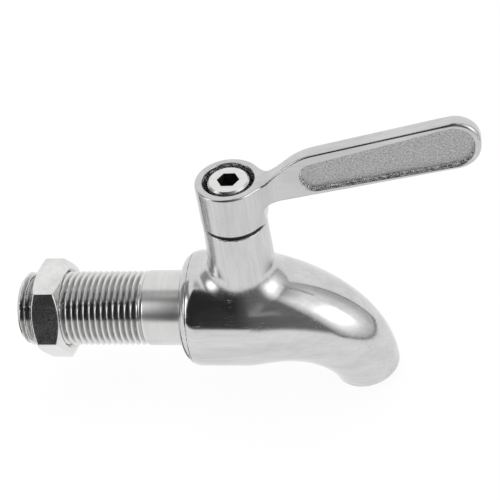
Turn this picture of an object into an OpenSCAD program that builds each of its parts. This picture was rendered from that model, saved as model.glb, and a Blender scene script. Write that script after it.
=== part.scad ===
// Drinks dispenser spigot with a quarter-turn ball valve, in millimetres.
// X runs along the shank towards the spout, Z up the tower.
// The origin is on the shank's axis, in the flange face that bears on the vessel's wall.

/* [Shank] */
// Diameter of the smooth stretch next to the flange
shank_d = 16.66; // [14:0.01:17]
// Length of the smooth stretch
plain_l = 8.3; // [4:0.1:10]
// Diameter over the thread's crests
thread_d = 16.56; // [13.9:0.01:16.6]
// Distance from one thread to the next
thread_pitch = 1.337; // [1:0.001:2.4]
// Depth of the thread
thread_depth = 0.82; // [0.4:0.01:1.2]
// Width of the thread's crests
crest_w = 0.2; // [0.1:0.01:0.4]
// Length of the shank behind the flange
shank_l = 36.8; // [34:0.1:60]
// Bore through the shank
shank_bore_d = 10.5; // [8:0.1:11]
// Chamfer on the free end of the shank
shank_chamfer = 0.9; // [0.3:0.1:1.2]
// Thickness of the flange
flange_l = 2; // [1.5:0.1:3]
// Diameter of the threaded boss that closes the body
boss_d = 18; // [17:0.1:19]

/* [Lock nut] */
// Width across the flats
nut_af = 20; // [19:0.1:26]
// Thickness of the nut
nut_h = 6.4; // [4:0.1:8]
// Distance from the flange face to the near face of the nut
nut_gap = 26.5; // [14:0.1:28]
// Diameter of the nut's faces inside the chamfers
nut_face_d = 19.4; // [18.6:0.1:20]
// Diameter of the countersink on the nut's faces
nut_sink_d = 18.2; // [17.4:0.1:18.4]
// Radial running clearance of the nut on the thread's crests
nut_clear = 0.05; // [0.02:0.01:0.1]

/* [Body] */
// Diameter of the barrel
body_d = 25.66; // [25:0.1:30]
// Length of the rounded rear edge
edge_l = 3.8; // [2.5:0.1:4]
// Drop of the rounded rear edge at the flange face
edge_drop = 3.1; // [1:0.1:3.6]
// Distance of the tower's axis from the flange face
tower_x = 13.9; // [13.5:0.1:16]
// Distance from the tower's axis to the start of the spout's bend
bend_lead = -0.9; // [-2:0.1:4]
// Length of the spout along its centre line
spout_l = 33.76; // [28:0.01:40]
// Angle by which the spout turns down
spout_turn = 79.6; // [60:0.1:90]
// How late the bend comes, 1 is an even bend
bend_delay = 1.33; // [0.9:0.01:1.5]
// Outer diameter at the outlet
outlet_d = 15; // [14:0.1:16]
// How early the spout gets slimmer, 1 is an even taper
taper_power = 0.4; // [0.3:0.01:1]
// How softly the taper starts
taper_soft = 0.2; // [0.02:0.01:0.4]
// Bore of the outlet
outlet_bore_d = 12; // [10:0.1:12.4]
// Depth of the straight bore in the outlet
outlet_bore_l = 4; // [2:0.1:5]
// Ledge between the curved passage and the outlet's bore
outlet_ledge = 0.15; // [0.1:0.05:0.5]
// Rounding of the outlet's rim
rim_r = 0.5; // [0.2:0.1:0.6]

/* [Neck] */
// Height of the neck's top above the shank's axis
neck_z = 25.4; // [23.5:0.1:28]
// Diameter of the neck at its top
neck_d = 13.3; // [12.6:0.1:14]
// Widening of the neck's diameter from its top down to the barrel
neck_flare = 0.9; // [0.4:0.1:2]
// Fillet between the neck and the barrel
neck_fillet = 3; // [1.5:0.1:3.4]
// Chamfer round the neck's top
neck_chamfer = 0.2; // [0.1:0.05:0.5]

/* [Ball valve] */
// Diameter of the ball
ball_d = 16; // [15.6:0.1:16.2]
// Bore of the ball and of the seats
port_d = 10; // [8:0.1:10.2]
// Outer diameter of the seats
seat_d = 16.8; // [16.4:0.1:17.2]
// Distance from the ball's centre to the back of a seat
seat_back = 8.7; // [8.2:0.1:9]
// Distance from the ball's centre to the front of a seat
seat_front = 4.9; // [4.5:0.1:5.5]
// Running clearance between the ball and the seats
ball_clear = 0.05; // [0.03:0.01:0.1]
// Clearance of pieces that are fitted tightly together
fit_clear = 0.05; // [0.03:0.01:0.1]
// Width of the slot in the ball's top
slot_w = 3.2; // [2.8:0.1:3.6]
// Depth of the slot in the ball's top
slot_depth = 2.3; // [1.5:0.1:2.5]
// Play of the stem's tang on each side of the slot
slot_play = 0.1; // [0.05:0.01:0.3]
// Section of the seal on the shank's boss
seal_d = 1.2; // [0.9:0.05:1.4]

/* [Stem] */
// Diameter of the stem
stem_d = 8; // [7.6:0.1:8.2]
// Radial running clearance of the stem in the neck
stem_clear = 0.03; // [0.02:0.01:0.08]
// Diameter of the stem's top, on which the lever sits
stem_top_d = 7; // [6.8:0.1:7.2]
// Width across the two flats of the stem's top
stem_flat = 6.2; // [6:0.1:6.4]
// Length of the stem's tang across the ball's slot
tang_l = 6.8; // [5:0.1:7.2]
// Section of the rings on the stem
oring_d = 1.14; // [1:0.02:1.2]
// Height of the lower ring above the shank's axis
oring_low_z = 12.5; // [11.5:0.1:13.5]
// Distance between the two rings
oring_step = 4; // [3:0.1:5]
// Depth from the neck's top to the shoulder that the retaining ring holds
shoulder_depth = 1.8; // [1.6:0.1:2.4]
// Thickness of the retaining ring
clip_h = 0.8; // [0.6:0.05:0.9]
// Depth of the retaining ring's groove in the neck
clip_depth = 0.5; // [0.3:0.05:0.6]
// Opening in the retaining ring
clip_slit = 2; // [1:0.1:3]

/* [Stop pin] */
// Diameter of the stop pin
pin_d = 1.2; // [1:0.05:1.3]
// Distance of the stop pin from the tower's axis
pin_reach = 5.25; // [5.2:0.01:5.3]
// Length of the stop pin in the neck
pin_hold = 3; // [2:0.1:5]
// Height of the stop pin above the hub's underside
pin_rise = 1.2; // [0.8:0.1:1.6]
// Clearance round the stop pin in its slot
pin_clear = 0.2; // [0.15:0.01:0.25]
// Angle of the stop pin round the tower
pin_angle = 135; // [100:5:150]
// Turn of the lever between its stops
lever_turn = 90; // [60:5:100]

/* [Lever] */
// Height of the gap between the neck and the hub
hub_gap = 0.8; // [0.6:0.1:2]
// Diameter of the black ring in the gap
gap_ring_d = 12.2; // [12:0.1:12.6]
// Diameter of the hub
hub_d = 13.64; // [13.4:0.1:15]
// Height of the hub
hub_h = 9.75; // [9.4:0.05:12]
// Diameter of the recess in the hub's top
recess_d = 10.5; // [9.4:0.1:11]
// Depth of the recess in the hub's top
recess_depth = 6.3; // [6:0.1:6.6]
// Chamfer round the recess
recess_chamfer = 0.3; // [0.1:0.05:0.6]
// Thickness of the handle's blade
blade_t = 3.2; // [2.4:0.1:4]
// Fillet between the hub's side and the blade, seen from above
root_fillet = 7; // [4:0.1:9]
// Reach of the lever's tip from the tower's axis
lever_reach = 49; // [40:0.5:70]
// Slope of the blade's upper edge
top_slope = 13.4; // [8:0.1:18]
// Slope of the blade's lower edge
low_slope = 11.5; // [6:0.1:16]
// Slope of the rise from the hub to the blade
rise_slope = 39.3; // [30:0.1:50]
// Distance from the hub's edge to the foot of the rise
rise_lead = 0.56; // [0.2:0.01:1.5]
// Distance from the tower's axis to the crest of the rise
crest_x = 14.5; // [13:0.1:17]
// Rounding at the crest of the rise
crest_r = 13; // [4:0.5:18]
// Rounding at the foot of the rise
foot_r = 2.5; // [1:0.1:3]
// Height of the blade's lower edge above the hub's underside, at the hub
under_z = 4.35; // [3:0.05:5]
// Rounding under the blade at the hub
under_r = 2; // [0.5:0.1:3]
// Rounding of the upper corner of the tip
tip_top_r = 4.8; // [2:0.1:5]
// Rounding of the lower corner of the tip
tip_low_r = 5; // [2:0.1:5.2]

/* [Sunken field] */
// Depth of the sunken field in the blade's side
field_depth = 0.9; // [0.3:0.1:1]
// Distance from the tower's axis to the near end of the field
field_start = 14.45; // [13.5:0.05:18]
// Width of the rim at the lever's tip
field_tip_rim = 1.2; // [0.8:0.1:2]
// Width of the rim above the field, at its near end
rim_top_near = 2.3; // [1:0.1:2.6]
// Width of the rim above the field, at the tip
rim_top_far = 0.8; // [0.5:0.1:1.5]
// Width of the rim below the field, at its near end
rim_low_near = 1.1; // [0.7:0.1:1.6]
// Width of the rim below the field, at the tip
rim_low_far = 0.7; // [0.5:0.1:1.5]
// Rounding of the field's near end
field_near_r = 3; // [1.5:0.1:3]
// Rounding of the field's end at the tip
field_tip_r = 4; // [2:0.1:4]

/* [Handle screw] */
// Diameter of the screw
screw_d = 5; // [4.8:0.1:5]
// Diameter of the screw's head
head_d = 8.5; // [7.5:0.1:8.8]
// Height of the screw's head
head_h = 5; // [4:0.1:5]
// Chamfer of the screw's head
head_chamfer = 0.37; // [0.2:0.01:0.6]
// Width across the flats of the hexagon socket
socket_af = 4; // [3:0.1:4.4]
// Depth of the hexagon socket
socket_depth = 2.6; // [1.5:0.1:3]
// Length of the screw under its head
screw_l = 10; // [8:1:10]
// Thickness of the spring washer
spring_h = 1.2; // [0.8:0.1:1.2]
// Outer diameter of the spring washer
spring_d = 8.6; // [8:0.1:9]
// Width of the slit in the spring washer
spring_slit = 0.9; // [0.5:0.1:1.5]

/* [Hidden] */

// Clearance round what passes loosely through a ring
loose_clear = 0.3;
// Play of a ring in its groove, along the groove
groove_play = 0.15;
// Clearance of a ring's section, inside and outside
ring_clear = 0.01;
// Length by which solids that are joined run into each other
lap = 0.5;

body_r = body_d / 2;
outlet_r = outlet_d / 2;
bend_x = tower_x + bend_lead;
hub_z = neck_z + hub_gap;
hub_top_z = hub_z + hub_h;
floor_z = hub_top_z - recess_depth;
seat_x_in = tower_x - seat_back;
seat_x_out = tower_x + seat_back;
seal_x = (flange_l + seat_x_in) / 2;
seal_mid_r = boss_d / 2 + fit_clear - seal_d / 2 - ring_clear;
cavity_r = seat_d / 2 + fit_clear;
shoulder_z = neck_z - shoulder_depth;
stem_bore_r = stem_d / 2 + stem_clear;
stem_foot_z = ball_d / 2 + groove_play;
stem_end_z = floor_z - loose_clear;
screw_tip_z = floor_z + spring_h - screw_l;
neck_low_d = neck_d + neck_flare;
oring_groove_r = stem_d / 2 - oring_d - 2 * ring_clear;
slot_z = ball_d / 2 - slot_depth;

// Radius of the rounded rear edge at a distance from the flange face
function edge_r(x) = x >= edge_l ? body_r
    : body_r - edge_drop * (1 - sqrt(1 - pow((edge_l - x) / edge_l, 2)));

// Share of the spout's taper that is done at a share of its length, with a soft start
function taper_raw(s) = pow(s * s + taper_soft * taper_soft, taper_power / 2);
function taper(s) = (taper_raw(s) - taper_raw(0)) / (taper_raw(1) - taper_raw(0));
function spout_angle(s) = spout_turn * pow(s, bend_delay);
function spout_r(s) = body_r - (body_r - outlet_r) * taper(s);

// Centre line of the spout as rows of x, z, downward angle and outer radius
spout_steps = 29;
ds = 1 / spout_steps;
function step_x(s) = spout_l * ds * (cos(spout_angle(s)) + cos(spout_angle(s + ds))) / 2;
function step_z(s) = spout_l * ds * (sin(spout_angle(s)) + sin(spout_angle(s + ds))) / 2;
spine = [for (i = 0, x = bend_x, z = 0; i <= spout_steps;
        x = x + step_x(i * ds), z = z - step_z(i * ds), i = i + 1)
    [x, z, spout_angle(i * ds), spout_r(i * ds)]];
mouth = spine[spout_steps];

// Point of a ring that stands square to the centre line
function ring_point(c, r, a) = [c[0] + r * cos(a) * sin(c[2]), r * sin(a), c[1] + r * cos(a) * cos(c[2])];
function ring(c, r, sides) = [for (k = [0:sides - 1]) ring_point(c, r, 360 * k / sides)];
function along_mouth(d) = [mouth[0] + d * cos(mouth[2]), mouth[1] - d * sin(mouth[2]), mouth[2], 0];

// Closed skin through a row of rings with the same number of points
function mid(ring_points) = [for (i = [0:2]) ([for (p = ring_points) 1] * [for (p = ring_points) p[i]])
    / len(ring_points)];
module skin(rings) {
    n = len(rings[0]);
    m = len(rings);
    points = concat([for (one = rings) each one], [mid(rings[0]), mid(rings[m - 1])]);
    sides = [for (j = [0:m - 2]) for (k = [0:n - 1]) let (k2 = (k + 1) % n) each [
        [j * n + k, j * n + k2, (j + 1) * n + k2],
        [j * n + k, (j + 1) * n + k2, (j + 1) * n + k]]];
    near_end = [for (k = [0:n - 1]) [(k + 1) % n, k, m * n]];
    far_end = [for (k = [0:n - 1]) [(m - 1) * n + k, (m - 1) * n + (k + 1) % n, m * n + 1]];
    polyhedron(points, concat(sides, near_end, far_end));
}

// Rise of the fillet over the curved back, by the distance from the tower's axis
fillet_in = neck_low_d / 2 - 0.1;
function rise(rho) = rho <= fillet_in ? neck_fillet : rho >= fillet_in + neck_fillet ? 0
    : neck_fillet * (1 - sqrt(1 - pow((fillet_in + neck_fillet - rho) / neck_fillet, 2)));
function lifted(p) = p[2] <= 0 ? p
    : [p[0], p[1], p[2] + rise(norm([p[0] - tower_x, p[1]]))];
function lifted_ring(c, r, sides) = [for (p = ring(c, r, sides)) lifted(p)];

// Outer skin of the barrel and the spout, with the fillet to the neck worked in
module barrel_skin() {
    sides = 72;
    rows = 11;
    rear = [for (k = [0:3]) let (x = flange_l + (edge_l - flange_l) * k / 4)
        ring([x, 0, 0, 0], edge_r(x), sides)];
    straight = [for (k = [0:rows - 1]) let (x = edge_l + (bend_x - edge_l) * k / rows)
        lifted_ring([x, 0, 0, 0], body_r, sides)];
    bend = [for (i = [0:spout_steps - 1]) lifted_ring(spine[i], spine[i][3], sides)];
    rim = [for (a = [0, 30, 60, 90])
        ring(along_mouth(rim_r * sin(a)), outlet_r - rim_r * (1 - cos(a)), sides)];
    skin(concat(rear, straight, bend, rim));
}

// Passage from the outlet seat to the mouth, on a curve with a handle at each end
module spout_passage() {
    sides = 32;
    steps = 12;
    start = [seat_x_out - lap, 0];
    end_r = outlet_bore_d / 2 - outlet_ledge;
    goal = [along_mouth(-outlet_bore_l / 2)[0], along_mouth(-outlet_bore_l / 2)[1]];
    pull = norm(goal - start) / 3;
    p1 = start + [pull, 0];
    p2 = goal - pull * [cos(mouth[2]), -sin(mouth[2])];
    function at(u) = pow(1 - u, 3) * start + 3 * u * pow(1 - u, 2) * p1
        + 3 * u * u * (1 - u) * p2 + pow(u, 3) * goal;
    function way(u) = pow(1 - u, 2) * (p1 - start) + 2 * u * (1 - u) * (p2 - p1) + u * u * (goal - p2);
    skin([for (i = [0:steps]) let (u = i / steps, c = at(u), d = way(u))
        ring([c[0], c[1], atan2(-d[1], d[0]), 0],
            port_d / 2 + (end_r - port_d / 2) * u, sides)]);
}

module neck_solid() {
    foot_z = body_r / 2;
    span = neck_z - body_r;
    slope = neck_flare / 2 / span;
    translate([tower_x, 0, foot_z])
        cylinder(h = neck_z - foot_z - neck_chamfer, r1 = neck_d / 2 + slope * (neck_z - foot_z),
            r2 = neck_d / 2 + slope * neck_chamfer, $fn = 96);
    translate([tower_x, 0, neck_z - neck_chamfer])
        cylinder(h = neck_chamfer, r1 = neck_d / 2 + slope * neck_chamfer,
            r2 = neck_d / 2 - neck_chamfer, $fn = 96);
}

module body() {
    color("gainsboro") difference() {
        union() {
            barrel_skin();
            neck_solid();
        }
        // Seat of the shank's boss
        translate([flange_l - 1, 0, 0]) rotate([0, 90, 0])
            cylinder(h = seat_x_in - flange_l + 1, r = boss_d / 2 + fit_clear, $fn = 96);
        // Chamber of the ball and the two seats
        translate([flange_l, 0, 0]) rotate([0, 90, 0])
            cylinder(h = seat_x_out - flange_l, r = cavity_r, $fn = 96);
        spout_passage();
        // Straight bore of the outlet
        translate([mouth[0], 0, mouth[1]]) rotate([0, 90 + mouth[2], 0])
            translate([0, 0, -outlet_bore_l])
                cylinder(h = outlet_bore_l + rim_r + 1, d = outlet_bore_d, $fn = 96);
        // Bore of the stem
        translate([tower_x, 0, 0]) cylinder(h = neck_z + 1, r = stem_bore_r, $fn = 96);
        // Groove of the retaining ring
        translate([tower_x, 0, shoulder_z]) cylinder(h = clip_h, r = stem_bore_r + clip_depth, $fn = 96);
        stop_pin_at(pin_d / 2, neck_z - pin_hold, neck_z + 1);
    }
}

module stop_pin_at(r, z1, z2) {
    translate([tower_x, 0, 0]) rotate([0, 0, pin_angle]) translate([pin_reach, 0, z1])
        cylinder(h = z2 - z1, r = r, $fn = 32);
}

// Outline of the thread's grooves as rows of radius and place, kept inside the end's chamfer
thread_count = floor((shank_l - plain_l) / thread_pitch);
function thread_at(r, x) = [min(r, thread_d / 2 - shank_chamfer + x + shank_l), x];
thread_outline = [for (k = [thread_count - 1:-1:0]) let (x = -plain_l - k * thread_pitch) each [
    thread_at(thread_d / 2, x - thread_pitch + crest_w),
    thread_at(thread_d / 2 - thread_depth, x - (thread_pitch - crest_w) / 2),
    thread_at(thread_d / 2, x)]];

module threaded_shank() {
    r = shank_d / 2;
    end_x = -shank_l;
    boss_r = boss_d / 2;
    seal_h = seal_d + 2 * groove_play;
    edge = [for (k = [0:6]) let (x = flange_l * k / 6) [edge_r(x), x]];
    outline = concat(
        [[0, end_x], [thread_d / 2 - shank_chamfer, end_x]],
        thread_outline, [[r, -plain_l], [r, 0]], edge,
        [[boss_r, flange_l], [boss_r, seat_x_in], [0, seat_x_in]]);
    color("lightgray") difference() {
        rotate([0, 90, 0]) rotate_extrude($fn = 96) polygon(outline);
        translate([end_x - 1, 0, 0]) rotate([0, 90, 0])
            cylinder(h = shank_l + seat_x_in + 2, d = shank_bore_d, $fn = 96);
        // Groove of the seal
        translate([seal_x - seal_h / 2, 0, 0]) rotate([0, 90, 0]) difference() {
            cylinder(h = seal_h, r = boss_r + 1, $fn = 96);
            translate([0, 0, -1])
                cylinder(h = seal_h + 2, r = seal_mid_r - seal_d / 2 - ring_clear, $fn = 96);
        }
    }
}

module shank_seal() {
    color("#2b2b2b") translate([seal_x, 0, 0]) rotate([0, 90, 0]) rotate_extrude($fn = 96)
        translate([seal_mid_r, 0]) circle(d = seal_d, $fn = 24);
}

module lock_nut() {
    corner_r = nut_af / 2 / cos(30);
    face_r = nut_face_d / 2;
    outer_r = corner_r + lap;
    cut = (outer_r - face_r) * tan(30);
    hole_r = thread_d / 2 + nut_clear;
    sink_r = nut_sink_d / 2;
    sink_h = sink_r - hole_r;
    color("darkgray") translate([-nut_gap - nut_h, 0, 0]) rotate([0, 90, 0]) difference() {
        intersection() {
            rotate([0, 0, 30]) cylinder(h = nut_h, r = corner_r, $fn = 6);
            rotate_extrude($fn = 96) polygon([[0, 0], [face_r, 0], [outer_r, cut],
                [outer_r, nut_h - cut], [face_r, nut_h], [0, nut_h]]);
        }
        translate([0, 0, -1]) cylinder(h = nut_h + 2, r = hole_r, $fn = 96);
        cylinder(h = sink_h, r1 = sink_r, r2 = hole_r, $fn = 96);
        translate([0, 0, nut_h - sink_h]) cylinder(h = sink_h, r1 = hole_r, r2 = sink_r, $fn = 96);
    }
}

module ball() {
    color("silver") translate([tower_x, 0, 0]) difference() {
        sphere(d = ball_d, $fn = 96);
        rotate([0, 90, 0]) cylinder(h = ball_d + 2, d = port_d, center = true, $fn = 96);
        translate([-slot_w / 2, -ball_d, slot_z]) cube([slot_w, 2 * ball_d, slot_depth + 1]);
    }
}

module seat() {
    difference() {
        translate([seat_front, 0, 0]) rotate([0, 90, 0])
            cylinder(h = seat_back - seat_front, d = seat_d, $fn = 96);
        rotate([0, 90, 0]) cylinder(h = seat_back + 1, d = port_d, $fn = 96);
        sphere(r = ball_d / 2 + ball_clear, $fn = 96);
    }
}

module inlet_seat() {
    color("whitesmoke") translate([tower_x, 0, 0]) mirror([1, 0, 0]) seat();
}

module outlet_seat() {
    color("whitesmoke") translate([tower_x, 0, 0]) seat();
}

module stem() {
    tang_w = slot_w - 2 * slot_play;
    tang_z = slot_z + groove_play;
    full_top_z = hub_z - loose_clear;
    groove_h = oring_d + 2 * groove_play;
    color("silver") translate([tower_x, 0, 0]) difference() {
        union() {
            translate([0, 0, stem_foot_z])
                cylinder(h = shoulder_z - stem_foot_z, d = stem_d, $fn = 96);
            translate([0, 0, shoulder_z - lap])
                cylinder(h = full_top_z - shoulder_z + lap, d = stem_top_d, $fn = 96);
            // Top with two flats, which carries the lever
            intersection() {
                translate([0, 0, shoulder_z])
                    cylinder(h = stem_end_z - shoulder_z, d = stem_top_d, $fn = 96);
                translate([-stem_top_d, -stem_flat / 2, shoulder_z])
                    cube([2 * stem_top_d, stem_flat, stem_end_z - shoulder_z]);
            }
            // Tang in the ball's slot
            translate([-tang_w / 2, -tang_l / 2, tang_z])
                cube([tang_w, tang_l, stem_foot_z - tang_z + lap]);
        }
        translate([0, 0, screw_tip_z - lap])
            cylinder(h = stem_end_z - screw_tip_z + 2 * lap, r = screw_d / 2 + fit_clear, $fn = 64);
        for (z = [oring_low_z, oring_low_z + oring_step])
            translate([0, 0, z - groove_h / 2]) difference() {
                cylinder(h = groove_h, r = stem_d, $fn = 96);
                translate([0, 0, -1]) cylinder(h = groove_h + 2, r = oring_groove_r, $fn = 96);
            }
    }
}

module stem_oring(z) {
    color("#2b2b2b") translate([tower_x, 0, z]) rotate_extrude($fn = 96)
        translate([oring_groove_r + oring_d / 2 + ring_clear, 0]) circle(d = oring_d, $fn = 24);
}

module stem_oring_lower() {
    stem_oring(oring_low_z);
}

module stem_oring_upper() {
    stem_oring(oring_low_z + oring_step);
}

module retaining_ring() {
    inner_r = stem_top_d / 2 + loose_clear;
    color("dimgray") translate([tower_x, 0, shoulder_z]) difference() {
        cylinder(h = clip_h, r = stem_bore_r + clip_depth, $fn = 96);
        translate([0, 0, -1]) cylinder(h = clip_h + 2, r = inner_r, $fn = 96);
        translate([0, -clip_slit / 2, -1]) cube([2 * stem_d, clip_slit, clip_h + 2]);
    }
}

module handle_washer() {
    color("#1c1c1c") difference() {
        translate([tower_x, 0, neck_z]) cylinder(h = hub_gap - fit_clear, d = gap_ring_d, $fn = 96);
        translate([tower_x, 0, neck_z - 1])
            cylinder(h = hub_gap + 2, r = stem_top_d / 2 + loose_clear, $fn = 96);
        stop_pin_at(pin_d / 2 + fit_clear, neck_z - 1, hub_z + 1);
    }
}

module stop_pin() {
    color("silver") stop_pin_at(pin_d / 2, neck_z - pin_hold, hub_z + pin_rise);
}

// Outline through corners given as x, y and rounding, with arcs of even steps
function unit(v) = v / norm(v);
function corner(p, q, s) = let (c = [q[0], q[1]], a = unit([p[0], p[1]] - c), b = unit([s[0], s[1]] - c),
    half = acos(max(-1, min(1, a * b))) / 2, r = q[2])
    r <= 0 ? [c] : let (mid = c + unit(a + b) * r / sin(half), t = r / tan(half),
        va = c + a * t - mid, vb = c + b * t - mid,
        turn = 180 - 2 * half, steps = max(2, ceil(turn / 7)),
        way = va[0] * vb[1] - va[1] * vb[0] > 0 ? 1 : -1)
        [for (i = [0:steps]) let (w = way * turn * i / steps)
            mid + [va[0] * cos(w) - va[1] * sin(w), va[0] * sin(w) + va[1] * cos(w)]];
function rounded(pts) = let (n = len(pts))
    [for (i = [0:n - 1]) each corner(pts[(i + n - 1) % n], pts[i], pts[(i + 1) % n])];

// Heights of the blade's two edges at a distance from the tower's axis
rise_x = hub_d / 2 + rise_lead;
crest_z = hub_top_z + (crest_x - rise_x) * tan(rise_slope);
function top_z(x) = crest_z + (x - crest_x) * tan(top_slope);
function low_z(x) = hub_z + under_z + (x - hub_d / 2) * tan(low_slope);

// Side outline of the hub with the blade
module lever_side() {
    polygon(rounded([
        [-hub_d, hub_z, 0], [hub_d / 2, hub_z, 0], [hub_d / 2, low_z(hub_d / 2), under_r],
        [lever_reach, low_z(lever_reach), tip_low_r], [lever_reach, top_z(lever_reach), tip_top_r],
        [crest_x, crest_z, crest_r], [rise_x, hub_top_z, foot_r], [-hub_d, hub_top_z, 0]]));
}

// Ground plan of the hub with the blade
module lever_plan() {
    hr = hub_d / 2;
    far = sqrt(pow(hr + root_fillet, 2) - pow(blade_t / 2 + root_fillet, 2));
    union() {
        circle(d = hub_d, $fn = 128);
        difference() {
            translate([0, -blade_t / 2 - root_fillet]) square([far, blade_t + 2 * root_fillet]);
            for (side = [-1, 1]) {
                translate([far, side * (blade_t / 2 + root_fillet)]) circle(r = root_fillet, $fn = 128);
                polygon([[0, side * (hr + root_fillet) * 3], [0, 0],
                    [far * 3, side * 3 * (blade_t / 2 + root_fillet)]]);
            }
        }
        translate([0, -blade_t / 2]) square([lever_reach + 1, blade_t]);
    }
}

// Outline of the sunken field
module field_outline() {
    x1 = field_start;
    x2 = lever_reach - field_tip_rim;
    polygon(rounded([
        [x1, low_z(x1) + rim_low_near, field_near_r], [x2, low_z(x2) + rim_low_far, field_tip_r],
        [x2, top_z(x2) - rim_top_far, field_tip_r], [x1, top_z(x1) - rim_top_near, field_near_r]]));
}

module lever() {
    slot_r = pin_d / 2 + pin_clear;
    slot_h = pin_rise + loose_clear;
    hole_h = floor_z - hub_z + 2;
    hole_flat = stem_flat + 2 * fit_clear;
    color("gainsboro") translate([tower_x, 0, 0]) difference() {
        intersection() {
            translate([0, 0, hub_z - 1]) linear_extrude(top_z(lever_reach) - hub_z + 2) lever_plan();
            translate([0, hub_d, 0]) rotate([90, 0, 0]) linear_extrude(2 * hub_d) lever_side();
        }
        // Recess of the screw's head
        translate([0, 0, floor_z]) cylinder(h = recess_depth + 20, d = recess_d, $fn = 96);
        translate([0, 0, hub_top_z - recess_chamfer]) cylinder(h = recess_chamfer,
            d1 = recess_d, d2 = recess_d + 2 * recess_chamfer, $fn = 96);
        // Hole with two flats for the stem
        intersection() {
            translate([0, 0, hub_z - 1])
                cylinder(h = hole_h, r = stem_top_d / 2 + fit_clear, $fn = 96);
            translate([-stem_top_d, -hole_flat / 2, hub_z - 1])
                cube([2 * stem_top_d, hole_flat, hole_h]);
        }
        // Arc slot of the stop pin
        translate([0, 0, hub_z - 1]) rotate([0, 0, pin_angle]) rotate_extrude(angle = lever_turn, $fn = 96)
            translate([pin_reach - slot_r, 0]) square([2 * slot_r, slot_h + 1]);
        for (a = [pin_angle, pin_angle + lever_turn])
            rotate([0, 0, a]) translate([pin_reach, 0, hub_z - 1])
                cylinder(h = slot_h + 1, r = slot_r, $fn = 48);
        // Sunken field in the blade's side
        translate([0, -blade_t / 2 + field_depth, 0]) rotate([90, 0, 0])
            linear_extrude(field_depth + 1) field_outline();
    }
}

module handle_screw() {
    under = floor_z + spring_h;
    color("silver") translate([tower_x, 0, 0]) difference() {
        union() {
            translate([0, 0, under]) cylinder(h = head_h - head_chamfer, d = head_d, $fn = 96);
            translate([0, 0, under + head_h - head_chamfer])
                cylinder(h = head_chamfer, d1 = head_d, d2 = head_d - 2 * head_chamfer, $fn = 96);
            translate([0, 0, screw_tip_z]) cylinder(h = screw_l + lap, d = screw_d, $fn = 64);
        }
        translate([0, 0, under + head_h - socket_depth])
            cylinder(h = socket_depth + 1, r = socket_af / 2 / cos(30), $fn = 6);
    }
}

module spring_washer() {
    color("dimgray") translate([tower_x, 0, floor_z]) difference() {
        cylinder(h = spring_h, d = spring_d, $fn = 96);
        translate([0, 0, -1]) cylinder(h = spring_h + 2, r = screw_d / 2 + loose_clear, $fn = 64);
        translate([0, -spring_slit / 2, -1]) cube([spring_d, spring_slit, spring_h + 2]);
    }
}

body();
threaded_shank();
lock_nut();
ball();
inlet_seat();
outlet_seat();
shank_seal();
stem();
stem_oring_lower();
stem_oring_upper();
retaining_ring();
handle_washer();
stop_pin();
lever();
handle_screw();
spring_washer();
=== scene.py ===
"""Looks, light and camera for a polished steel drinks dispenser spigot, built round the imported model."""

import logging
import math
from dataclasses import dataclass, field
from enum import Enum
from typing import Callable, Optional, Sequence

import bmesh
import bpy
import numpy as np
from mathutils import Euler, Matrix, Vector


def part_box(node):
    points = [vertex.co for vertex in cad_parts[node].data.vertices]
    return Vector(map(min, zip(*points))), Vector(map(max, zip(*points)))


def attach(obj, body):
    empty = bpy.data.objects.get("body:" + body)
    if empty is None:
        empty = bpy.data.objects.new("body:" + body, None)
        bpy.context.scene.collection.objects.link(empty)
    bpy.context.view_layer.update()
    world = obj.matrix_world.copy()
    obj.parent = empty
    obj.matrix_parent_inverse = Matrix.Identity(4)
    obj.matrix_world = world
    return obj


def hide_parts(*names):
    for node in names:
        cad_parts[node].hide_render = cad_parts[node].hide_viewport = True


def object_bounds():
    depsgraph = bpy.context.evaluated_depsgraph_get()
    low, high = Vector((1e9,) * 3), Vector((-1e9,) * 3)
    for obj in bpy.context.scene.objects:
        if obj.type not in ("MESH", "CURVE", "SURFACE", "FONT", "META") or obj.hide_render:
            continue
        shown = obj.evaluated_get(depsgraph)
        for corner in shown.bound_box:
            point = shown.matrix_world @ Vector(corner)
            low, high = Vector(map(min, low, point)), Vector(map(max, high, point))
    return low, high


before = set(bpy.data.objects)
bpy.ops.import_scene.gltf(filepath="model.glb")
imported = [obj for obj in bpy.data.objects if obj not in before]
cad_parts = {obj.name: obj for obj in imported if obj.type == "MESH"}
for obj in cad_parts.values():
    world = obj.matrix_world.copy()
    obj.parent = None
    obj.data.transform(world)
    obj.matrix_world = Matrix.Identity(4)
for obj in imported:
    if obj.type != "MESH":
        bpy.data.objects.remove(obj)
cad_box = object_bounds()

LOG = logging.getLogger("spigot")
MM = 0.001
QUARTER_TURN = 0.25
WHITE = (1.0, 1.0, 1.0, 1.0)

Colour = tuple[float, float, float]
Points = np.ndarray
Distances = np.ndarray
Field = Callable[[Points], Distances]


def round_join(a: Distances, b: Distances, radius: float) -> Distances:
    """Distance to two forms joined with a fillet.

    Args:
        a: Distances to the first form, negative inside.
        b: Distances to the second form.
        radius: Radius of the fillet.

    Returns:
        Distances to the joined form.
    """
    corner = np.hypot(np.maximum(radius - a, 0), np.maximum(radius - b, 0))
    return np.maximum(radius, np.minimum(a, b)) - corner


def round_meet(a: Distances, b: Distances, radius: float) -> Distances:
    """Distance to what two forms share, with its edge rounded.

    Args:
        a: Distances to the first form, negative inside.
        b: Distances to the second form.
        radius: Radius of the rounded edge.

    Returns:
        Distances to the shared form.
    """
    corner = np.hypot(np.maximum(radius + a, 0), np.maximum(radius + b, 0))
    return np.minimum(-radius, np.maximum(a, b)) + corner


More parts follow.
